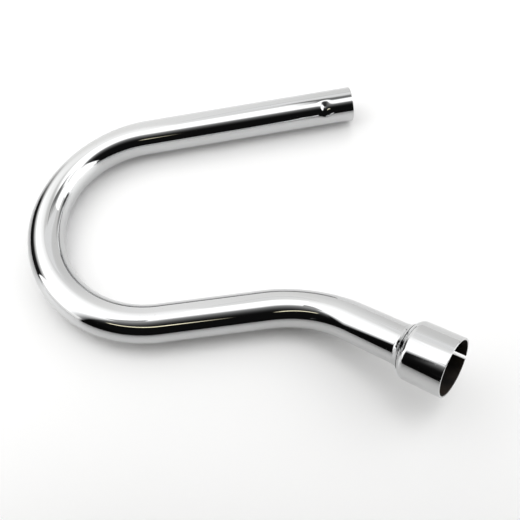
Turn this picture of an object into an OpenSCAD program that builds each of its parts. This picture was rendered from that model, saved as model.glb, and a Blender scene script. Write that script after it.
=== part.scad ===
// Bent exhaust header: a polished tube bent into a hook, with a slotted socket welded to its outlet.
// The plain end is centred on the origin and faces +X. The return bend lies flat under it.

/* [Tube] */
// Outside diameter of the tube
tube_d = 28; // [24:0.5:32]
// Wall of the tube
tube_wall = 1.5; // [1:0.25:2.5]
// Radius of both bends, to the middle of the tube
bend_r = 85; // [70:1:110]

/* [Route] */
// Straight run behind the plain end
inlet_len = 173; // [120:1:220]
// Turn of the return bend
return_angle = 177; // [150:1:180]
// Straight run between the two bends
middle_len = 74; // [40:1:120]
// Turn of the offset bend
offset_angle = 44; // [20:1:60]
// Lift of the offset bend's plane out of the return bend's plane
offset_lift = 23; // [0:1:40]
// Straight run from the offset bend to the end of the tube inside the socket
outlet_len = 45; // [30:1:80]

/* [Socket] */
// Outside diameter of the socket
socket_d = 40.5; // [38:0.5:48]
// Wall of the socket
socket_wall = 1.5; // [1:0.25:2]
// Length of the socket from its neck to its mouth
socket_len = 33; // [30:1:60]
// Slope of the shoulder, measured from the tube
shoulder_angle = 50; // [40:1:60]
// Outer radius where the shoulder rolls into the straight wall
shoulder_r = 5.5; // [4:0.5:7]
// How far the tube reaches into the socket past its neck
socket_seat = 6; // [4:0.5:10]
// Chamfer round the mouth's outer and inner edge
mouth_chamfer = 0.3; // [0.1:0.1:0.6]

/* [Slot] */
// Width of the saw slot that lets the mouth close
slot_w = 2.4; // [1.5:0.1:4]
// Depth of the saw slot from the mouth
slot_len = 19; // [12:1:24]
// Place of the slot round the socket, from the offset bend's inside
slot_turn = 160; // [0:5:355]

/* [Weld] */
// Throat radius of the weld bead's hollow face
weld_r = 6; // [4:0.5:8]
// Thickness of the bead at its two toes
weld_edge = 0.2; // [0.1:0.05:0.4]

/* [Dimple] */
// Distance of the punched dimple from the plain end
dimple_from_end = 23.5; // [10:0.5:60]
// Width of the dimple's mouth
dimple_d = 4.5; // [3:0.5:8]
// Depth of the dimple
dimple_depth = 1.1; // [0.5:0.1:2]
// Lean of the dimple from straight up, toward the inside of the hook
dimple_lean = 26; // [0:1:90]

/* [Hidden] */
$fn = 96;
// A cut runs past the face that it opens by this much
eps = 0.02;
// Clearance between the tube, the socket and the bead
seat_gap = 0.02;
// How far a bend's ends run into the straights
lap = 0.5;
// How much a bend is drawn down, so that its ends run inside the straights' walls
bend_draw = 0.06;
tube_r = tube_d / 2;
bore_r = tube_r - tube_wall;
socket_r = socket_d / 2;
// The offset bend turns the other way from the return bend, then rolls back by its lift
offset_roll = 180 - offset_lift;
// A sphere that cuts a dimple of the given mouth and depth
dimple_r = (pow(dimple_d / 2, 2) + pow(dimple_depth, 2)) / (2 * dimple_depth);
dimple_out = tube_r - dimple_depth + dimple_r;
// Steps of the arcs in the shoulder's roll and in the bead's face
roll_steps = 12;
bead_steps = 10;
// Shoulder: a cone from the tube's surface that rolls into the socket's wall
shoulder_sin = sin(shoulder_angle);
shoulder_cos = cos(shoulder_angle);
roll_rise = shoulder_r * (1 - shoulder_cos);
cone_rise = socket_r - tube_r - roll_rise;
cone_len = cone_rise / tan(shoulder_angle);
roll_end = cone_len + shoulder_r * shoulder_sin;

function arc(x, y, r, from, to, steps) =
    [for (i = [0 : steps]) let (a = from + (to - from) * i / steps) [x + r * cos(a), y + r * sin(a)]];

// Places its children at the far end of a straight run
module after_straight(length) {
    translate([0, 0, length]) children();
}

// Places its children at the far end of a bend, which turns toward +X
module after_bend(angle) {
    translate([bend_r, 0, 0]) rotate([0, angle, 0]) translate([-bend_r, 0, 0]) children();
}

// The stations along the route, each with +Z down the tube
module at_plain_end() {
    rotate([90, 0, 0]) rotate([0, -90, 0]) children();
}

module at_return_bend() {
    at_plain_end() after_straight(inlet_len) children();
}

module at_middle() {
    at_return_bend() after_bend(return_angle) children();
}

module at_offset_bend() {
    at_middle() after_straight(middle_len) rotate([0, 0, offset_roll]) children();
}

module at_outlet() {
    at_offset_bend() after_bend(offset_angle) children();
}

module at_socket() {
    at_outlet() after_straight(outlet_len - socket_seat) children();
}

module straight_tube(length) {
    difference() {
        cylinder(h = length, r = tube_r);
        translate([0, 0, -eps]) cylinder(h = length + 2 * eps, r = bore_r);
    }
}

// A bend is drawn down by a hair, and its two ends run a little way into the straights
module bent_tube(angle) {
    lap_angle = lap / bend_r * 180 / PI;
    translate([bend_r, 0, 0])
        rotate([90, 0, 0])
            rotate_extrude(angle = angle + 2 * lap_angle, start = 180 - angle - lap_angle)
                translate([bend_r, 0]) difference() {
                    circle(r = tube_r - bend_draw);
                    circle(r = bore_r + bend_draw);
                }
}

module dimple_ball(r) {
    rotate([dimple_lean, 0, 0]) translate([-dimple_from_end, 0, dimple_out]) rotate([90, 0, 0]) sphere(r = r);
}

// The punched wall: the bore swells inward as far as the outside is pushed in
module dimpled_inlet() {
    difference() {
        union() {
            at_plain_end() straight_tube(inlet_len);
            intersection() {
                dimple_ball(dimple_r + tube_wall);
                at_plain_end() cylinder(h = inlet_len, r = bore_r + eps);
            }
        }
        dimple_ball(dimple_r);
    }
}

module header_pipe() {
    color([0.82, 0.83, 0.85]) union() {
        dimpled_inlet();
        at_return_bend() bent_tube(return_angle);
        at_middle() straight_tube(middle_len);
        at_offset_bend() bent_tube(offset_angle);
        at_outlet() straight_tube(outlet_len);
    }
}

// Half section of the socket: radius across, distance from the neck along
module socket_profile() {
    neck_r = tube_r + seat_gap;
    inner_roll = shoulder_r - socket_wall;
    plate_rise = socket_wall / shoulder_sin;
    polygon(concat(
        [[neck_r, seat_gap / tan(shoulder_angle)]],
        arc(socket_r - shoulder_r, roll_end, shoulder_r, -shoulder_angle, 0, roll_steps),
        [[socket_r, socket_len - mouth_chamfer]],
        [[socket_r - mouth_chamfer, socket_len]],
        [[socket_r - socket_wall + mouth_chamfer, socket_len]],
        [[socket_r - socket_wall, socket_len - mouth_chamfer]],
        arc(socket_r - shoulder_r, roll_end, inner_roll, 0, -shoulder_angle, roll_steps),
        [[neck_r, plate_rise + seat_gap / tan(shoulder_angle)]]));
}

module socket() {
    color([0.8, 0.81, 0.83]) at_socket() difference() {
        rotate_extrude() socket_profile();
        rotate([0, 0, slot_turn])
            translate([0, -slot_w / 2, socket_len - slot_len])
                cube([socket_d, slot_w, slot_len + eps]);
    }
}

// Half section of the bead: the hollow fillet between the tube and the shoulder
module weld_profile() {
    throat = weld_r + weld_edge;
    root = throat - seat_gap;
    arc_x = tube_r + throat;
    arc_y = -throat * tan(shoulder_angle / 2);
    polygon(concat(
        [[tube_r + seat_gap, -seat_gap * tan(shoulder_angle / 2)]],
        [[tube_r + seat_gap, arc_y]],
        arc(arc_x, arc_y, weld_r, 180, 180 - shoulder_angle, bead_steps),
        [[arc_x - root * shoulder_cos, arc_y + root * shoulder_sin]]));
}

module weld_bead() {
    color([0.7, 0.7, 0.72]) at_socket() rotate_extrude() weld_profile();
}

header_pipe();
socket();
weld_bead();
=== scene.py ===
# %% [markdown]
# # A bent exhaust header in mirror chrome
# The object is a thin steel tube, bent into a hook and then kicked sideways, with a wider slotted
# socket welded to its outlet. Everything is polished and plated, so the finish is a mirror and the
# form shows only in what it reflects. The packed model gives the frame: where each node is and how
# large. It is loaded first, and nothing in it is moved.

# %% Load the frame
import math

import bpy
from mathutils import Matrix, Vector, noise


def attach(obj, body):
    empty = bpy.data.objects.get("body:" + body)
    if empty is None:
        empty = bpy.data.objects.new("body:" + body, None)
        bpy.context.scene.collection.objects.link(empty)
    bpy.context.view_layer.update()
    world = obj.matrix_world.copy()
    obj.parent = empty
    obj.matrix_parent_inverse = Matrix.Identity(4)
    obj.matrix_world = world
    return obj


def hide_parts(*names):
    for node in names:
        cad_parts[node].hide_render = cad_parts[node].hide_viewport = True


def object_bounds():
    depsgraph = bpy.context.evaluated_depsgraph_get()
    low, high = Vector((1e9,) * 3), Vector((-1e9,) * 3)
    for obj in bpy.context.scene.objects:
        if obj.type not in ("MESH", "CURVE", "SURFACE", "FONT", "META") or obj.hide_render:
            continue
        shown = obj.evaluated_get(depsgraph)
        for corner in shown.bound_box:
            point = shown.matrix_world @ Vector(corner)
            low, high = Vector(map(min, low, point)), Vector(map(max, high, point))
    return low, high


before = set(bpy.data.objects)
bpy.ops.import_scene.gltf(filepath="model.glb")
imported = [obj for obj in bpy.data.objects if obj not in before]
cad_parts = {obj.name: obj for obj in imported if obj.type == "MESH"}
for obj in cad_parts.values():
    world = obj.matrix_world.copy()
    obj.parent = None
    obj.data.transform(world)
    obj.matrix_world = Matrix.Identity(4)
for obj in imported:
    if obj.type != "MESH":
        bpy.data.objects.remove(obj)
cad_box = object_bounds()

MM = 0.001
print("nodes", sorted(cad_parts), "box", [list(c) for c in cad_box])

# %% [markdown]
# ## The route of the tube
# A bender works with three numbers at a time: feed the tube straight, roll it in the chuck, and
# pull it round the former. The route could be a curve object with handles, but handles only come
# near to an arc. Here each feed and each pull is a matrix, so the visual tube follows the real
# construction exactly: +Z always runs down the tube, and a bend turns toward +X.

# %% Feed, pull and roll
bend_radius = 85 * MM


def feed(station, length):
    """The station that lies a straight feed further on."""
    return station @ Matrix.Translation((0, 0, length))


def pull(station, angle):
    """The station that lies a bend further on."""
    centre = Matrix.Translation((bend_radius, 0, 0))
    return station @ centre @ Matrix.Rotation(angle, 4, "Y") @ centre.inverted()


def roll(station, angle):
    """The same place, with the tube rolled in the chuck."""
    return station @ Matrix.Rotation(angle, 4, "Z")


plain_end = Matrix.Rotation(math.pi / 2, 4, "X") @ Matrix.Rotation(-math.pi / 2, 4, "Y")
print("the tube starts at", plain_end.translation[:], "along", [round(v) for v in plain_end.col[2].xyz])

# %% The bender's numbers
inlet_length = 173 * MM
return_angle = math.radians(177)
middle_length = 74 * MM
offset_roll = math.radians(157)
offset_angle = math.radians(44)
outlet_length = 45 * MM
socket_seat = 6 * MM

return_start = feed(plain_end, inlet_length)
middle_start = pull(return_start, return_angle)
offset_start = feed(middle_start, middle_length)
outlet_start = roll(pull(roll(offset_start, offset_roll), offset_angle), -offset_roll)
neck = roll(feed(outlet_start, outlet_length - socket_seat), offset_roll)
print("neck of the socket at", [round(v / MM, 1) for v in neck.translation], "mm")

# %% [markdown]
# ## Meshes from rings
# A turned or bent tube is a stack of rings. Spinning a profile with the Screw modifier would do for
# the socket, but not for a tube that bends, flattens and is dented. So every piece of this object is
# rows of points, joined by quads. Shading is smooth, except where two faces meet at a real edge.

# %% Quads between rows
def quads(rows, around):
    """Row, column and corners of each quad between a row of points and the next, in a closed loop."""
    found = []
    for i in range(rows):
        here = i * around
        there = (i + 1) % rows * around
        for k in range(around):
            n = (k + 1) % around
            found.append((i, k, (here + k, here + n, there + n, there + k)))
    return found


print("3 rows of 4 points are joined by", len(quads(3, 4)), "quads")

# %% Make a piece
sharp_edge = math.radians(35)


def make_piece(name, rows, faces, dark):
    """An object from rows of points and faces. A face that is dark takes the second material."""
    mesh = bpy.data.meshes.new(name)
    mesh.from_pydata([point for row in rows for point in row], [], faces)
    mesh.polygons.foreach_set("use_smooth", [True] * len(faces))
    mesh.polygons.foreach_set("material_index", [int(d) for d in dark])
    mesh.update()
    mesh.set_sharp_from_angle(angle=sharp_edge)
    piece = bpy.data.objects.new(name, mesh)
    bpy.context.scene.collection.objects.link(piece)
    print(name, "has", len(faces), "faces")
    return piece


print("edges are sharp from", round(math.degrees(sharp_edge)), "degrees")

# %% [markdown]
# ## The tube
# A tube that is pulled round a former without a mandrel gets a little narrower across the bend. The
# photograph shows it in the first half of the return bend and, less, in the offset bend. A curve
# with a round bevel can't do that, so each ring is squeezed along the bend's own direction by a
# smooth bell. Rings are close together in the bends and closest at the dimple.

# %% Stations down a straight
straight_spacing = 4 * MM
dimple_spacing = 0.45 * MM
dimple_from_end = 23.5 * MM
dimple_reach = 9 * MM


def parts(length, spacing):
    """From 0 to almost 1, in steps of about this spacing over a length."""
    count = max(1, round(length / spacing))
    return [i / count for i in range(count)]


def inlet_stations():
    """Stations of the inlet, each as a matrix, a squeeze, and the squeeze's direction."""
    near = dimple_from_end - dimple_reach
    far = dimple_from_end + dimple_reach
    found = []
    for start, end, spacing in (
        (0, near, straight_spacing),
        (near, far, dimple_spacing),
        (far, inlet_length, straight_spacing),
    ):
        for t in parts(end - start, spacing):
            found.append((feed(plain_end, start + (end - start) * t), 0.0, 0.0))
    return found


stations = inlet_stations()
print("inlet:", len(stations), "rings")

# %% Stations round the bends
bend_spacing = 1.5 * MM
return_squeeze = 0.12
return_squeeze_turn = math.radians(81)
offset_squeeze = 0.046
bell_sharpness = 1.5


def bell(t):
    """A smooth hump from 0 to 1 and back over t from 0 to 1."""
    return math.sin(math.pi * t) ** bell_sharpness if 0 < t < 1 else 0.0


for t in parts(bend_radius * return_angle, bend_spacing):
    squeeze = return_squeeze * bell(return_angle * t / return_squeeze_turn)
    stations.append((pull(return_start, return_angle * t), squeeze, 0.0))
for t in parts(middle_length, straight_spacing):
    stations.append((feed(middle_start, middle_length * t), 0.0, 0.0))
for t in parts(bend_radius * offset_angle, bend_spacing):
    bent = roll(pull(roll(offset_start, offset_roll), offset_angle * t), -offset_roll)
    stations.append((bent, offset_squeeze * bell(t), offset_roll))
for t in parts(outlet_length, straight_spacing) + [1]:
    stations.append((feed(outlet_start, outlet_length * t), 0.0, 0.0))
print("whole tube:", len(stations), "rings")

# %% [markdown]
# ## The dimple
# Near its plain end the tube has a dimple with a punch mark in it, pressed in from one side. It is
# steep behind the punch and runs out gently ahead of it, and on a mirror even a millimetre turns a
# whole band round. A bump map would bend the light too, but not the wall, and it is lost where the
# piece is used without its material. So the wall itself is pushed in, by a fold round the tube times
# a soft bell along it.

# %% How deep the dimple is
tube_radius = 14 * MM
dimple_lean = math.radians(36)
dimple_depth = 1.1 * MM
dimple_behind = 4.5 * MM
dimple_ahead = 9 * MM
dimple_along = 3.5 * MM
dimple_rim = 0.25
punch_depth = 0.15 * MM
punch_reach = 0.8 * MM
dimple_side = -tube_radius * math.sin(dimple_lean)
dimple_at = Vector((-dimple_from_end, dimple_side, tube_radius * math.cos(dimple_lean)))


def dent(point):
    """How deep the wall is pushed in at a point: a fold, steep behind and gentle ahead."""
    away = point - dimple_at
    punch = punch_depth * math.exp(-((away.length / punch_reach) ** 2))
    up = away.y * math.cos(dimple_lean) + away.z * math.sin(dimple_lean)
    up /= dimple_behind if up > 0 else dimple_ahead
    inside = 1 - up * up
    bowl = dimple_depth * (inside + math.hypot(inside, dimple_rim)) / 2
    return bowl * math.exp(-((away.x / dimple_along) ** 2)) + punch


print("the dimple is", round(dent(dimple_at) / MM, 2), "mm deep")

# %% [markdown]
# ## The wall
# A plated wall is never quite true. It wavers by a few hundredths of a millimetre, which nobody can
# feel, but which makes the long reflections waver too. The waver is in the mesh, so it is there at
# every distance. The wall has its real thickness: the outside and the bore are one closed skin,
# joined over a slightly rounded lip, and the bore takes the second material.

# %% One ring of the wall
tube_around = 144
ripple_depth = 0.03 * MM
ripple_size = 22 * MM


def ring(station, radius, squeeze=0.0, side=0.0, rough=False):
    """One ring of the tube, squeezed across the bend, and dented and rippled if it is the outside."""
    across = Vector((math.cos(side), math.sin(side), 0))
    points = []
    for k in range(tube_around):
        angle = 2 * math.pi * k / tube_around
        out = Vector((math.cos(angle), math.sin(angle), 0))
        reach = out * radius
        reach -= across * reach.dot(across) * squeeze
        point = station @ reach
        if rough:
            ripple = ripple_depth * (0.5 + 0.5 * noise.noise(point / ripple_size))
            point -= (station.to_3x3() @ out) * (dent(point) + ripple)
        points.append(point)
    return points


print("a ring has", len(ring(plain_end, tube_radius)), "points")

# %% The bent tube
tube_wall = 1.5 * MM
bore_radius = tube_radius - tube_wall
bore_skip = 6
lip = 0.25 * MM
lip_middle = 0.29
lip_hold = 3 * lip
lip_bands = 2


def tube_piece():
    profile_out = (
        (tube_radius - lip, 0.0),
        (tube_radius - lip_middle * lip, lip_middle * lip),
        (tube_radius, lip),
        (tube_radius, lip_hold),
    )
    profile_in = ((bore_radius, lip_hold), (bore_radius, lip), (bore_radius + lip, 0.0))
    start = [ring(feed(plain_end, along), radius) for radius, along in profile_out]
    outside = [ring(s, tube_radius, squeeze, side, True) for s, squeeze, side in stations[1:]]
    inside = [ring(s, bore_radius, squeeze, side) for s, squeeze, side in stations[:0:-bore_skip]]
    close = [ring(feed(plain_end, along), radius) for radius, along in profile_in]
    rows = start + outside + inside + close
    joined = quads(len(rows), tube_around)
    dark_from = len(start) + len(outside)
    dark_to = len(rows) - lip_bands
    dark = [dark_from <= i < dark_to for i, _, _ in joined]
    return make_piece("bent_tube", rows, [quad for _, _, quad in joined], dark)


bent_tube = tube_piece()

# %% [markdown]
# ## The socket
# The socket is spun from sheet: a shoulder that slopes up from the tube, rolls over, and runs
# straight to the mouth, which is sawn through on one side so that it can be drawn tight round the
# next pipe. Its profile is a list of radii and places along the axis. Next to each corner of the
# profile an extra row lies close by, which holds the shading so that the wall beside it stays flat.

# %% The shoulder of the socket
socket_radius = 20.25 * MM
socket_wall = 1.5 * MM
shoulder_slope = math.radians(50)
shoulder_roll = 5.5 * MM
roll_rows = 14
roll_rise = shoulder_roll * (1 - math.cos(shoulder_slope))
cone_length = (socket_radius - tube_radius - roll_rise) / math.tan(shoulder_slope)
roll_end = cone_length + shoulder_roll * math.sin(shoulder_slope)


def rolled(radius):
    """The roll of the shoulder at a radius, from the cone to the straight wall."""
    found = []
    for i in range(roll_rows + 1):
        a = -shoulder_slope * (1 - i / roll_rows)
        across = socket_radius - shoulder_roll + radius * math.cos(a)
        found.append((across, roll_end + radius * math.sin(a)))
    return found


print("the shoulder ends", round(roll_end / MM, 1), "mm from the neck")

# %% The socket's profile
socket_length = 33 * MM
slot_depth = 19 * MM
slot_end = socket_length - slot_depth
mouth_chamfer = 0.15 * MM
holding_row = 0.35 * MM
root_gap = 0.02 * MM
root_radius = tube_radius + root_gap
wall_rows = 8


def straight_wall(radius, chamfer):
    """The straight wall at a radius, from the shoulder to the mouth, with a row at the slot's end."""
    long = socket_length - mouth_chamfer - slot_end
    rows = [slot_end + long * i / wall_rows for i in range(wall_rows + 1)]
    places = [roll_end + holding_row, slot_end - holding_row] + rows[:-1]
    places += [rows[-1] - holding_row, rows[-1]]
    return [(radius, along) for along in places] + [(radius + chamfer, socket_length)]


root = (root_radius, root_gap)
cone = (tube_radius + holding_row, holding_row / math.tan(shoulder_slope))
outer_wall = straight_wall(socket_radius, -mouth_chamfer)
socket_outside = [root, cone] + rolled(shoulder_roll) + outer_wall
inner_root = (root_radius, socket_wall / math.sin(shoulder_slope))
inner_wall = straight_wall(socket_radius - socket_wall, mouth_chamfer)
socket_inside = [inner_root] + rolled(shoulder_roll - socket_wall) + inner_wall
print("profile of", len(socket_outside), "outside and", len(socket_inside), "inside rows")

# %% [markdown]
# ## The saw cut
# A boolean would cut the slot, but it leaves thin triangles that show on a mirror. Here the columns
# of the mesh are spread round the socket between the two faces of the cut, and a few more lie in the
# cut itself. Leaving those out near the mouth opens the slot, with clean edges and parallel sides.

# %% Rings with room for the cut
slot_width = 2.4 * MM
slot_turn = math.radians(160)
socket_around = 160
slot_columns = 3


def spun(radius, turn, along):
    """A point on a spun form: a radius, a turn about the axis, and a place along it."""
    return Vector((radius * math.cos(turn), radius * math.sin(turn), along))


def socket_ring(radius, along):
    """Points round the socket: first over the wall, then over the saw cut."""
    half = math.asin(slot_width / 2 / radius)
    turns = [half + (2 * math.pi - 2 * half) * k / socket_around for k in range(socket_around + 1)]
    turns += [-half + 2 * half * k / slot_columns for k in range(1, slot_columns)]
    return [neck @ spun(radius, turn + slot_turn, along) for turn in turns]


print("a ring of the socket has", len(socket_ring(*socket_outside[-1])), "points")

# %% The cheeks and the end of the cut
cut_columns = socket_around + slot_columns
rounding = 1e-9
from_slot = slot_end - rounding


def cut_faces():
    """Quads from the outside to the inside that close the wall where the saw went through."""
    across = [n * cut_columns for n in range(len(socket_outside) + len(socket_inside))]
    more = len(socket_outside) - len(socket_inside)
    opposite = across[::-1]
    cheeks = []
    open_rows = [i for i, (_, along) in enumerate(socket_outside[:-1]) if along >= from_slot]
    for i in open_rows:
        a, b = across[i], across[i + 1]
        d, c = opposite[i - more], opposite[i - more + 1]
        e = socket_around
        cheeks += [(a, b, c, d), (b + e, a + e, d + e, c + e)]
    first = across[open_rows[0]]
    behind = opposite[open_rows[0] - more]
    turns = [(k, (k + 1) % cut_columns) for k in range(socket_around, cut_columns)]
    return cheeks + [(first + k, first + n, behind + n, behind + k) for k, n in turns]


print("the cut has", len(cut_faces()), "faces")

# %% The slotted socket
def socket_piece():
    profile = socket_outside + socket_inside[::-1]
    faces = []
    dark = []
    for i, k, quad in quads(len(profile), cut_columns):
        along = min(profile[i][1], profile[(i + 1) % len(profile)][1])
        if along >= from_slot and k >= socket_around:
            continue
        faces.append(quad)
        dark.append(len(socket_outside) <= i < len(profile) - 1)
    closing = cut_faces()
    rows = [socket_ring(radius, along) for radius, along in profile]
    return make_piece("slotted_socket", rows, faces + closing, dark + [False] * len(closing))


slotted_socket = socket_piece()

# %% [markdown]
# ## The weld
# The socket is welded to the tube all round, and the bead was ground and hammered smooth before
# plating. What is left is a hollow fillet full of small flats and nicks. A bump map would shade it
# but leave the edge clean, so the flats are in the mesh: a cell pattern raises and lowers the
# middle of the fillet by almost a fifth of a millimetre, and leaves its two edges where they are.

# %% The weld ring
weld_radius = 6 * MM
weld_edge = 0.2 * MM
weld_throat = weld_radius + weld_edge
weld_centre = Vector((tube_radius + weld_throat, -weld_throat * math.tan(shoulder_slope / 2)))
weld_under = 0.3 * MM
weld_around = 220
weld_rows = 26
flat_size = 3.2 * MM
flat_depth = 0.35 * MM


def weld_point(t, turn):
    """A point of the fillet, t from the tube's side to the socket's, lifted by its flat."""
    a = math.pi - shoulder_slope * t
    across = weld_centre.x + weld_radius * math.cos(a)
    along = weld_centre.y + weld_radius * math.sin(a)
    cells, _ = noise.voronoi(spun(across, turn, along) / flat_size)
    lift = flat_depth * (0.5 - cells[0]) * math.sin(math.pi * t)
    return neck @ spun(across - lift * math.cos(a), turn, along - lift * math.sin(a))


def weld_piece():
    turns = [2 * math.pi * k / weld_around for k in range(weld_around)]
    rows = [[weld_point(i / weld_rows, turn) for turn in turns] for i in range(weld_rows + 1)]
    rows.append([neck @ spun(root_radius, turn, weld_under) for turn in turns])
    faces = [quad for _, _, quad in quads(len(rows), weld_around)]
    return make_piece("weld_ring", rows, faces, [False] * len(faces))


weld_ring = weld_piece()

# %% [markdown]
# ## Shader maths as Python
# Nodes are easier to read as an expression. A small class wraps a socket, and its operators add
# Math nodes. Any other node comes from one method: its type, then its settings, then its inputs.

# %% Wires
class Wire:
    """A shader socket that takes part in sums."""

    def __init__(self, socket):
        self.socket = socket

    def sum(self, operation, first, second):
        tree = Shader(self.socket.id_data)
        return tree.node("ShaderNodeMath", {"operation": operation}, {0: first, 1: second})

    def __add__(self, other):
        return self.sum("ADD", self, other)

    __radd__ = __add__

    def __sub__(self, other):
        return self.sum("SUBTRACT", self, other)

    def __rsub__(self, other):
        return self.sum("SUBTRACT", other, self)

    def __mul__(self, other):
        return self.sum("MULTIPLY", self, other)

    __rmul__ = __mul__

    def over(self, level, soft):
        """0 below a level and 1 above it, with a soft step."""
        tree = Shader(self.socket.id_data)
        inputs = {"Value": self, "From Min": level - soft, "From Max": level + soft}
        return tree.node("ShaderNodeMapRange", {"interpolation_type": "SMOOTHSTEP"}, inputs)


print("a wire can", [name.strip("_") for name, made in vars(Wire).items() if callable(made)])

# %% Shader trees
class Shader:
    """A node tree that is written from top to bottom."""

    def __init__(self, tree):
        self.tree = tree

    def node(self, kind, settings=None, inputs=None, output=0):
        """Any node: its type, its settings, the values or wires of its inputs, and which output."""
        made = self.tree.nodes.new(kind)
        for name, value in (settings or {}).items():
            setattr(made, name, value)
        for name, value in (inputs or {}).items():
            if isinstance(value, Wire):
                self.tree.links.new(value.socket, made.inputs[name])
            else:
                made.inputs[name].default_value = value
        return Wire(made.outputs[output]) if made.outputs else None

    def vector(self, operation, first, second, output=0):
        return self.node("ShaderNodeVectorMath", {"operation": operation}, {0: first, 1: second}, output)

    def blend(self, factor, first, second):
        """A colour between two colours."""
        return self.node("ShaderNodeMix", {"data_type": "RGBA"}, {0: factor, 6: first, 7: second}, 2)

    def place(self):
        """The place on the object, in metres."""
        return self.node("ShaderNodeTexCoord", output="Object")

    def grain(self, size, detail, offset=0.0):
        """Noise whose blots are about this size, in metres, drawn from another place by offset."""
        at = self.vector("ADD", self.place(), (offset,) * 3)
        return self.node("ShaderNodeTexNoise", {}, {"Vector": at, "Scale": 1 / size, "Detail": detail})

    def relief(self, height, strength, distance):
        inputs = {"Height": height, "Strength": strength, "Distance": distance}
        return self.node("ShaderNodeBump", {}, inputs)

    def finish(self, shader):
        self.node("ShaderNodeOutputMaterial", {}, {"Surface": shader})


def new_material(name):
    material = bpy.data.materials.new(name)
    material.use_nodes = True
    material.node_tree.nodes.clear()
    return material, Shader(material.node_tree)


print("a shader can", [name.strip("_") for name, made in vars(Shader).items() if callable(made)])

# %% [markdown]
# ## Mirror chrome
# Bright chrome reflects a little over half of the light, with the faintest blue. It is a metal with
# almost no roughness, so a plain Principled shader would do, but it would look drawn. What keeps it
# real is small: a warm film and a haze where it was handled, a speck of dust here and there, a few
# pits, and the last trace of the buffing wheel under the plating. They are noise at their own sizes.

# %% Chrome
film_colour = (0.97, 0.965, 0.95, 1)
film_strength = 0.5
speck_colour = (0.18, 0.17, 0.15, 1)
speck_strength = 0.5
speck_rough = 0.2
haze_rough = 0.018
swell_height = 0.6
relief_strength = 0.22
relief_depth = 0.05 * MM


def chrome(name, tint, polish, pits, buffing):
    """Chrome of a tint, with a roughness, and with how much pits and the wheel's trace show."""
    material, s = new_material(name)
    haze = s.grain(size=14 * MM, detail=4).over(level=0.52, soft=0.16)
    film = s.grain(size=45 * MM, detail=3, offset=3.7).over(level=0.5, soft=0.2)
    speck = s.grain(size=1.1 * MM, detail=1, offset=1.3).over(level=0.79, soft=0.02)
    pit = s.grain(size=2.6 * MM, detail=2, offset=7.1).over(level=0.70, soft=0.05)
    wheel = s.grain(size=0.9 * MM, detail=3, offset=5.2)
    swell = s.grain(size=9 * MM, detail=2, offset=9.4)
    filmed = [t * f for t, f in zip(tint, film_colour)]
    colour = s.blend(speck * speck_strength, s.blend(film * film_strength, tint, filmed), speck_colour)
    rough = polish + haze * haze_rough + speck * speck_rough + pit * pits
    height = wheel * buffing + swell * swell_height - pit * pits
    s.finish(s.node("ShaderNodeBsdfPrincipled", {}, {
        "Base Color": colour, "Metallic": 1.0, "Roughness": rough,
        "Normal": s.relief(height, relief_strength, relief_depth)}))
    return material


bright = (0.60, 0.605, 0.61, 1)
dressed = (0.56, 0.565, 0.57, 1)
tube_chrome = chrome("polished_tube", bright, polish=0.035, pits=0.05, buffing=0.10)
socket_chrome = chrome("polished_socket", bright, polish=0.045, pits=0.10, buffing=0.15)
weld_chrome = chrome("polished_weld", dressed, polish=0.09, pits=0.30, buffing=0.60)
print("chrome", [m.name for m in (tube_chrome, socket_chrome, weld_chrome)])

# %% [markdown]
# ## The bore
# Plating doesn't reach inside a long tube. The bore stays bare steel with mill scale, nearly black,
# with brown patches where damp has got at it. One dark colour would do in the shade, but light does
# fall in at the mouth, so scale and rust each have their own noise, colour and height.

# %% Scaled steel
scale_dark = (0.012, 0.010, 0.009, 1)
scale_pale = (0.028, 0.022, 0.018, 1)
rust_colour = (0.045, 0.024, 0.013, 1)
rust_strength = 0.6
rust_height = 0.4
rust_rough = 0.3
bare_rough = 0.42
bare_metal = 0.35
scale_relief = 0.5
scale_depth = 0.12 * MM


def scaled_steel(name):
    material, s = new_material(name)
    scale = s.grain(size=6 * MM, detail=5).over(level=0.5, soft=0.2)
    rust = s.grain(size=11 * MM, detail=4, offset=2.2).over(level=0.56, soft=0.12)
    black = s.blend(scale, scale_dark, scale_pale)
    height = s.grain(size=1.4 * MM, detail=4) + rust * rust_height
    s.finish(s.node("ShaderNodeBsdfPrincipled", {}, {
        "Base Color": s.blend(rust * rust_strength, black, rust_colour), "Metallic": bare_metal,
        "Roughness": bare_rough + rust * rust_rough,
        "Normal": s.relief(height, scale_relief, scale_depth)}))
    return material


bore_steel = scaled_steel("scaled_bore")
print("bore", bore_steel.name, "of", len(bore_steel.node_tree.nodes), "nodes")

# %% [markdown]
# ## Seat the pieces
# Each visual piece stands for one node of the frame, rides on the part's one body and takes the
# finishes made above; the record's slot for it is listed beside them, but nothing reads it. It was
# made where it belongs, so nothing is moved here.

# %% Replace the nodes
for piece, node, slot, finishes in (
    (bent_tube, "header_pipe", "tube_chrome", (tube_chrome, bore_steel)),
    (slotted_socket, "socket", "socket_chrome", (socket_chrome, bore_steel)),
    (weld_ring, "weld_bead", "weld_chrome", (weld_chrome,)),
):
    for finish in finishes:
        piece.data.materials.append(finish)
    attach(piece, "root")
    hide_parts(node)
    print(piece.name, "stands for", node)

# %% [markdown]
# ## Camera
# The header lies on a table, and the camera looks down on it at about sixty degrees from a little
# under half a metre away. Its place, turn and lens could be set by eye, but a mirror shows every
# degree of error, so they were fitted to the object's outline.

# %% Camera
camera_at = Vector((-0.11349, -0.35185, 0.39834))
camera_azimuth = math.radians(3.59)
camera_drop = math.radians(61.24)
camera_roll = math.radians(-6.79)

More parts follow.
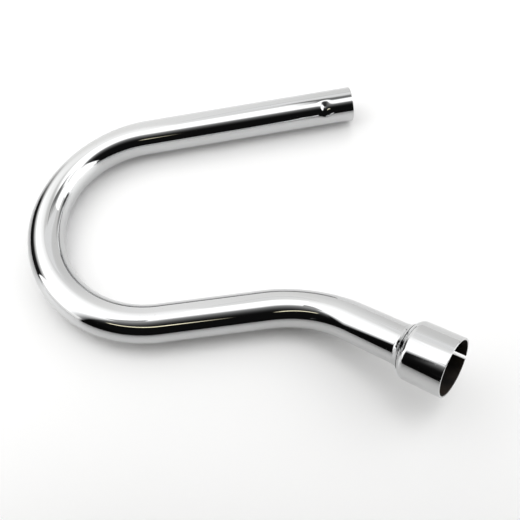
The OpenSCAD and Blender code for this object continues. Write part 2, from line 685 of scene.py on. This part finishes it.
camera_data = bpy.data.cameras.new("camera")
camera_data.lens = 42.615
camera_data.sensor_width = 36
camera = bpy.data.objects.new("camera", camera_data)
bpy.context.scene.collection.objects.link(camera)
look = Matrix.Rotation(-camera_azimuth, 4, "Z") @ Matrix.Rotation(math.pi / 2 - camera_drop, 4, "X")
camera.matrix_world = Matrix.Translation(camera_at) @ look @ Matrix.Rotation(camera_roll, 4, "Z")
bpy.context.scene.camera = camera
print("camera at", [round(v, 3) for v in camera_at])

# %% [markdown]
# ## The table
# Chrome shows the room and nothing else, so the room is built as a photographer would, from the
# table up. The header lies on white glossy laminate. A plain white colour would do under a bright
# sky, but the boxes light this table a little less than fully, and more light would burn out the
# chrome. So its colour stays just under white, and Light Path adds a small glow that only the camera
# and the metal see. Seen along its surface, the clear coat mirrors the dark side of the room, and
# that closes the undersides of the tube.

# %% A flat sheet
table_height = cad_box[0].z


def sheet(name, corners, finish):
    """A flat sheet of the studio between corners."""
    mesh = bpy.data.meshes.new(name)
    mesh.from_pydata(corners, [], [tuple(range(len(corners)))])
    mesh.update()
    mesh.materials.append(finish)
    made = bpy.data.objects.new(name, mesh)
    bpy.context.scene.collection.objects.link(made)
    return made


print("the table is at", round(table_height / MM, 1), "mm")

# %% Table
table_reach = 6.0
table_white = (0.95, 0.95, 0.95, 1)
table_rough = 0.35
table_glow = 0.05
coat_rough = 0.3


def laminate():
    material, s = new_material("table_laminate")
    top = s.node("ShaderNodeBsdfPrincipled", {}, {
        "Base Color": table_white, "Roughness": table_rough,
        "Coat Weight": 1.0, "Coat Roughness": coat_rough})
    glow = s.node("ShaderNodeEmission", {}, {"Color": (1, 1, 1, 1), "Strength": table_glow})
    lit = s.node("ShaderNodeAddShader", {}, {0: top, 1: glow})
    seen = s.node("ShaderNodeLightPath", output="Is Camera Ray")
    mirrored = s.node("ShaderNodeLightPath", output="Is Glossy Ray")
    s.finish(s.node("ShaderNodeMixShader", {}, {0: seen + mirrored, 1: top, 2: lit}))
    return material


quarters = ((-1, -1), (1, -1), (1, 1), (-1, 1))
table = sheet("table", [(x * table_reach, y * table_reach, table_height) for x, y in quarters], laminate())
print("table of", [round(side, 1) for side in table.dimensions], "m")

# %% [markdown]
# ## Boxes and black cards
# Each dark or bright band on the chrome is one card of the room, drawn out along the tube. A light
# of Blender's own would give highlights, but a card gives a band whose edge can be sharp on one side
# and soft on the other. Every card has its corners in metres, its level, how wide each edge fades,
# and a curve for a slow fall. The cards don't show to the camera itself, only in the metal.

# %% Which way the edges look
def edges(corners):
    """Each edge of a flat card: the direction that looks inward, and how far along it the edge is."""
    middle = sum(corners, Vector()) / len(corners)
    normal = (corners[1] - corners[0]).cross(corners[2] - corners[0]).normalized()
    found = []
    for i, corner in enumerate(corners):
        along = (corners[(i + 1) % len(corners)] - corner).normalized()
        inward = normal.cross(along)
        if inward.dot(middle) < inward.dot(corner):
            inward = -inward
        found.append((inward, inward.dot(corner)))
    return found


square = [Vector((x, y, 0)) for x, y in quarters]
print("a square's edges look along", [tuple(round(v) for v in inward) for inward, _ in edges(square)])

# %% A glowing card
plain_light = (1.0, 1.0, 1.0, 1)
hung = []


def fade(s, corners, fades, curve):
    """How much of a card is there: each edge thins out over its width, and curve makes it a fall."""
    at = s.place()
    cover = None
    for (inward, start), width in zip(edges(corners), fades):
        if width:
            reach = s.vector("DOT_PRODUCT", at, inward, "Value")
            inputs = {"Value": reach, "From Min": start, "From Max": start + width}
            rise = s.node("ShaderNodeMapRange", {}, inputs)
            cover = rise if cover is None else cover * rise
    if curve != 1:
        cover = s.node("ShaderNodeMath", {"operation": "POWER"}, {0: cover, 1: curve})
    return cover


def card(name, level, fades, corners, curve=1, colour=plain_light):
    """A glowing card, as bright as its level, that the camera itself doesn't see."""
    material, s = new_material(name)
    shader = s.node("ShaderNodeEmission", {}, {"Color": colour, "Strength": level})
    if any(fades):
        cover = fade(s, [Vector(corner) for corner in corners], fades, curve)
        clear = s.node("ShaderNodeBsdfTransparent")
        shader = s.node("ShaderNodeMixShader", {}, {0: cover, 1: clear, 2: shader})
    s.finish(shader)
    sheet(name, corners, material).visible_camera = False
    hung.append(name)


print("a card without a colour of its own glows in", plain_light)

# %% Level and upright corners
def flat(height, *places):
    """Corners of a card that hangs level."""
    return [(x, y, height) for x, y in places]


def wall(start, end, low, high):
    """Corners of a card that stands upright."""
    return [(*start, low), (*end, low), (*end, high), (*start, high)]


print("a square that stands upright:", wall((0, 0), (1, 0), 0, 1))

# %% [markdown]
# ## The boxes at both sides
# Three soft boxes hang at nearly one height: one over the header and one at each side. They draw the
# wide bright bands. Between them and the table, an upright wall of light and a dark one at each side
# cut those bands off toward the underside of the tube.

# %% Boxes and walls
box_level = 1.85
card("overhead", box_level, (0.1, 0, 0, 0, 0.103, 0.005), flat(
    0.746, (-0.378, -0.278), (0.694, -0.439), (0.472, -0.019), (0.134, 0.201), (0.052, 0.269),
    (-0.214, 0.251)))
card("left_box", box_level, (0, 0.45, 0, 0, 0), flat(
    0.799, (-0.148, -0.165), (-0.252, 0.616), (-0.699, 1.241), (-1.47, 0.162), (-0.789, -0.24)))
card("left_wall", box_level, (0, 0, 0, 0.092), wall((-0.534, -0.317), (-0.753, -0.007), 0.072, 0.71))
card("left_dark", 0.012, (0, 0.5, 0.32, 0.13), wall((-1.449, 0), (-0.96, 1.361), -0.014, 0.751))
card("right_box", box_level, (0.017, 0, 0, 0), flat(
    0.808, (0.437, -0.332), (2.003, -2.596), (2.012, 0.657), (0.534, 0.293)))
card("right_wall", box_level, (0, 0, 0, 0), wall((2.172, -2.492), (2.077, 0.14), 0.021, 0.873))
card("right_dark", 0.0835, (0, 0.808, 0.114, 0.09), wall((1.31, -0.142), (0.813, 0.827), -0.01, 0.337))
print(len(hung), "cards hang, the last is", hung[-1])

# %% [markdown]
# ## The dark front
# A photographer works from a dark place, so that the metal has black in it. Here black cards close
# the room toward the camera. Light spills over the near edge of the box overhead in a slow fall,
# which gives the long grey slope beside the black line.

# %% Black cards toward the camera
card("front_spill", 0.474, (0, 0.067, 0.713, 0.084), flat(
    0.788, (-0.628, -0.17), (0.483, -0.067), (0.997, -1.061), (-2.066, -0.942)), curve=4.01)
card("front_black", 0.00678, (0, 0, 0, 0), flat(
    0.934, (-3.731, -5.198), (4.075, -5.198), (4.479, -0.481), (-3.686, -0.125)))
card("front_wall_black", 0.006, (0, 0, 0.014, 0), wall((-4.661, -5.183), (4.776, -5.647), -0.013, 1.405))
card("front_left_black", 0.004, (0, 0, 0.117, 0.043), wall(
    (-0.643, -0.332), (-2.584, -4.219), -0.014, 0.341))
card("front_right_black", 0.079, (0, 0, 0, 0), wall((2.033, -2.4), (3.06, -4.06), -0.014, 0.82))
print(len(hung), "cards hang, the last is", hung[-1])

# %% [markdown]
# ## Small cards
# The last cards each draw one mark: shades that soften the boxes behind the header, a gap and a rim
# that give the socket and the bend their thin lines, one warm lamp for the thin yellow line along
# the tube, and a black cloth on the table, from below the camera outward.

# %% Shades, a rim, a lamp and a cloth
lamp_light = (1.0, 0.93, 0.68, 1)
card("left_shade", 0.22, (0.07, 0.06, 0.09, 0.06), flat(
    0.557, (0.015, -0.043), (0.262, 0.046), (0.193, 0.231), (0.013, 0.258)))
card("rear_shade", 1.13, (0.014, 0, 0.256, 0.051), flat(
    0.94, (-0.236, 0.533), (1.517, 0.332), (1.32, 1.006), (0.045, 1.146)))
card("right_gap", 0.105, (0, 0.059, 0.025, 0.096), flat(
    0.708, (0.278, -0.11), (0.267, -0.215), (0.584, -0.056), (0.403, -0.024)))
card("rear_rim", 0.25, (0.02, 0.02, 0.05, 0.03, 0.03, 0.06), flat(
    0.742, (0.02, 0.33), (0.13, 0.11), (0.2, 0.06), (0.2, 0.16), (0.09, 0.39), (0.02, 0.43)))
card("lamp", 2.1, (0.05, 0.012, 0.16, 0.012), flat(
    0.8, (-0.92, -0.64), (-0.9, -0.56), (-0.21, -0.93), (-0.24, -1.03)), colour=lamp_light)
card("front_cloth", 0.006, (0, 0, 0.05, 0), flat(-0.014, (-4, -5), (4, -5), (4, -0.36), (-4, -0.36)))
print(len(hung), "cards hang, the last is", hung[-1])

# %% [markdown]
# ## The room
# Past the boxes, the metal shows the room itself. One even colour would do for most objects. This
# room is brighter at the left than at the right, so its level turns with the compass: the angle
# round the object blends one warm white into a dimmer one.

# %% World
room_left = (1.205, 1.199, 1.187, 1)
room_right = (0.902, 0.898, 0.889, 1)
dims_from = -0.20
dims_to = 0.48


def build_room():
    world = bpy.data.worlds.new("studio")
    world.use_nodes = True
    world.node_tree.nodes.clear()
    s = Shader(world.node_tree)
    way = s.node("ShaderNodeTexCoord", output="Generated")
    x = s.node("ShaderNodeSeparateXYZ", {}, {0: way}, "X")
    y = s.node("ShaderNodeSeparateXYZ", {}, {0: way}, "Y")
    compass = s.node("ShaderNodeMath", {"operation": "ARCTAN2"}, {0: x, 1: y})
    inputs = {"Value": compass, "From Min": dims_from, "From Max": dims_to}
    rightward = s.node("ShaderNodeMapRange", {"interpolation_type": "SMOOTHSTEP"}, inputs)
    room = s.node("ShaderNodeBackground", {}, {"Color": s.blend(rightward, room_left, room_right)})
    s.node("ShaderNodeOutputWorld", {}, {"Surface": room})
    return world


bpy.context.scene.world = build_room()
print("the room goes from", room_left[0], "at the left to", room_right[0], "at the right")

# %% [markdown]
# ## Output
# The Standard view shows every colour as it is written, so that white is white and the metal's
# tones can be set against a photograph.

# %% Output look
bpy.context.scene.view_settings.view_transform = "Standard"
print("view:", bpy.context.scene.view_settings.view_transform)
